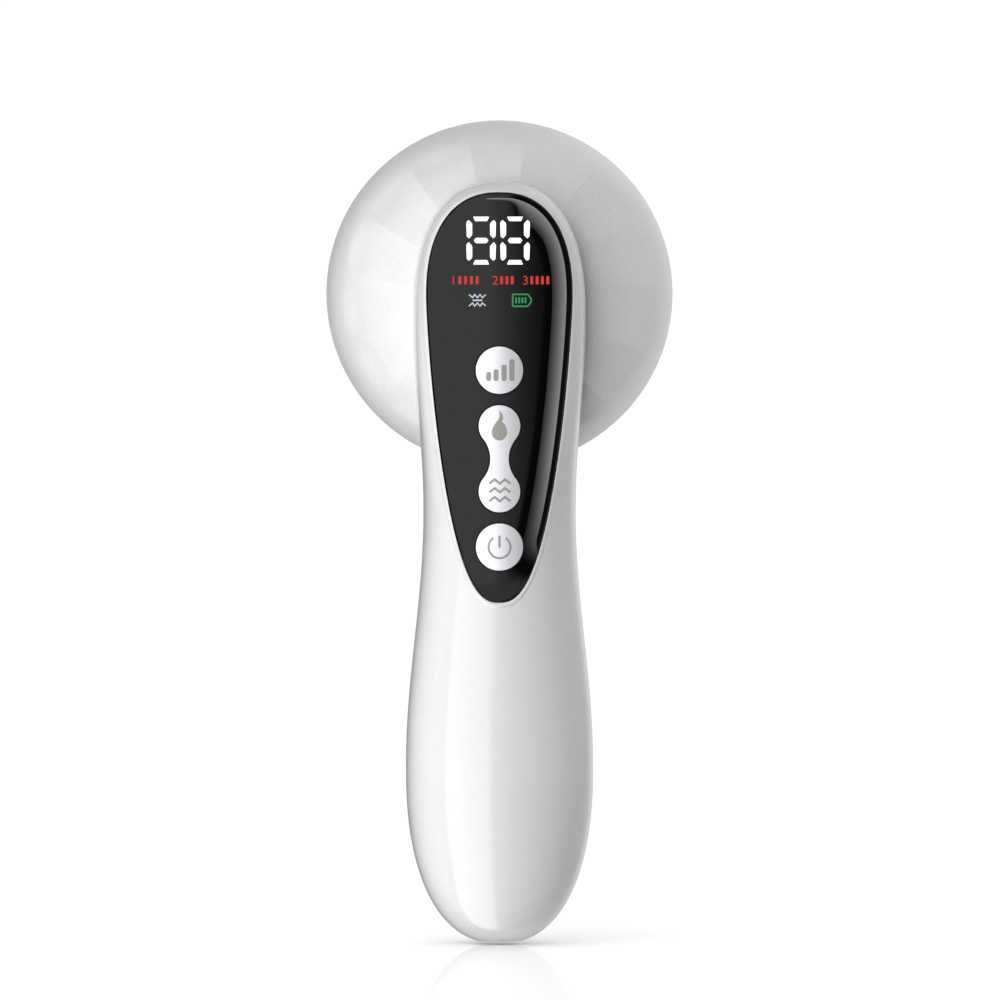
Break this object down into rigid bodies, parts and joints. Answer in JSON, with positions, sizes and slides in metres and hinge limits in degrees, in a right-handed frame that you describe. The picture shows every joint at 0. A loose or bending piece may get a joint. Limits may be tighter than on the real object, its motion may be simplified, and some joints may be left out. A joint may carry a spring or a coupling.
{
  "type": "handheld massager",
  "caption": "Handheld massager with a domed round head on a slim handle, a raised tongue with a black control panel, press keys and a metal massage face.",
  "frame": {"origin": "bottom centre of the bounding box, under the tail", "axes": "+Z from the tail up to the head, -Y towards the control panel, +Y out of the massage face, +X to the right of a viewer who faces the panel"},
  "size_m": [0.0754, 0.055, 0.1785],
  "materials": {
    "white_gloss": "glossy moulded white",
    "pearl_white": "satin pearl white",
    "bright_trim": "bright plated",
    "black_gloss": "tinted, mirror gloss",
    "key_silver": "pale silver, glossy",
    "stainless": "fine polished stainless",
    "clear_red": "red light guide",
    "soft_rubber": "soft grey",
    "dark_plastic": "matt black",
    "circuit_green": "green solder mask",
    "copper_wire": "bare copper",
    "plain_steel": "plain zinc-plated steel",
    "lead_red": "red insulation",
    "lead_black": "black insulation",
    "cell_wrap": "blue shrink wrap"
  },
  "bodies": {
    "case": {"battery_cell": "cell_wrap", "battery_holder": "dark_plastic", "battery_lead_negative": "lead_black", "battery_lead_positive": "lead_red", "battery_pad": "soft_rubber", "board_screw_1": "plain_steel", "board_screw_2": "plain_steel", "charge_lead": "lead_black", "charge_socket": "plain_steel", "charging_board": "circuit_green", "clamp_screw_1": "plain_steel", "clamp_screw_2": "plain_steel", "control_panel": "black_gloss", "display_module": "dark_plastic", "dome_cover": "pearl_white", "driver_board": "circuit_green", "driver_screw_1": "plain_steel", "driver_screw_2": "plain_steel", "electrode_pad_1": "stainless", "electrode_pad_2": "stainless", "electrode_pad_3": "stainless", "electrode_pad_4": "stainless", "front_housing": "white_gloss", "head_cable": "lead_black", "head_ring": "bright_trim", "head_screw_1": "plain_steel", "head_screw_2": "plain_steel", "head_seal": "soft_rubber", "heat_plate": "stainless", "heat_switch": "dark_plastic", "heater_film": "copper_wire", "heater_lead": "lead_red", "housing_screw_1": "plain_steel", "housing_screw_2": "plain_steel", "housing_screw_3": "plain_steel", "housing_screw_4": "plain_steel", "level_switch": "dark_plastic", "light_board": "circuit_green", "light_window": "clear_red", "main_board": "circuit_green", "massage_plate": "white_gloss", "motor_can": "plain_steel", "motor_clamp": "dark_plastic", "motor_lead": "lead_black", "motor_sleeve": "soft_rubber", "power_switch": "dark_plastic", "rear_housing": "white_gloss", "transformer_core": "dark_plastic", "transformer_winding": "copper_wire", "vibration_switch": "dark_plastic"},
    "level_key": {"level_button": "key_silver"},
    "mode_rocker": {"mode_key": "key_silver"},
    "power_key": {"power_button": "key_silver"},
    "level_contact": {"level_plunger": "dark_plastic"},
    "heat_contact": {"heat_plunger": "dark_plastic"},
    "vibration_contact": {"vibration_plunger": "dark_plastic"},
    "power_contact": {"power_plunger": "dark_plastic"},
    "motor_rotor": {"motor_shaft": "plain_steel", "eccentric_weight": "plain_steel"}
  },
  "joints": [
    {"name": "level_press", "type": "slide", "parent": "case", "child": "level_key", "axis": [0, 1, 0], "range_m": [0, 0.0004], "stiffness_N_per_m": 800},
    {"name": "level_plunge", "type": "slide", "parent": "case", "child": "level_contact", "axis": [0, 1, 0], "range_m": [0, 0.0004]},
    {"name": "power_press", "type": "slide", "parent": "case", "child": "power_key", "axis": [0, 1, 0], "range_m": [0, 0.0004], "stiffness_N_per_m": 800},
    {"name": "power_plunge", "type": "slide", "parent": "case", "child": "power_contact", "axis": [0, 1, 0], "range_m": [0, 0.0004]},
    {"name": "mode_rock", "type": "hinge", "parent": "case", "child": "mode_rocker", "pos_m": [0, -0.02293, 0.1049], "axis": [1, 0, 0], "range_deg": [-1.8, 1.8], "stiffness_Nm_per_rad": 0.2},
    {"name": "heat_plunge", "type": "slide", "parent": "case", "child": "heat_contact", "axis": [0, 1, 0], "range_m": [0, 0.00025], "stiffness_N_per_m": 800},
    {"name": "vibration_plunge", "type": "slide", "parent": "case", "child": "vibration_contact", "axis": [0, 1, 0], "range_m": [0, 0.00025], "stiffness_N_per_m": 800},
    {"name": "motor_spin", "type": "hinge", "parent": "case", "child": "motor_rotor", "pos_m": [0.005, -0.001, 0.143], "axis": [1, 0, 0], "continuous": true}
  ],
  "couplings": [
    {"joint": "level_plunge", "follows": "level_press", "ratio": 1},
    {"joint": "power_plunge", "follows": "power_press", "ratio": 1}
  ]
}
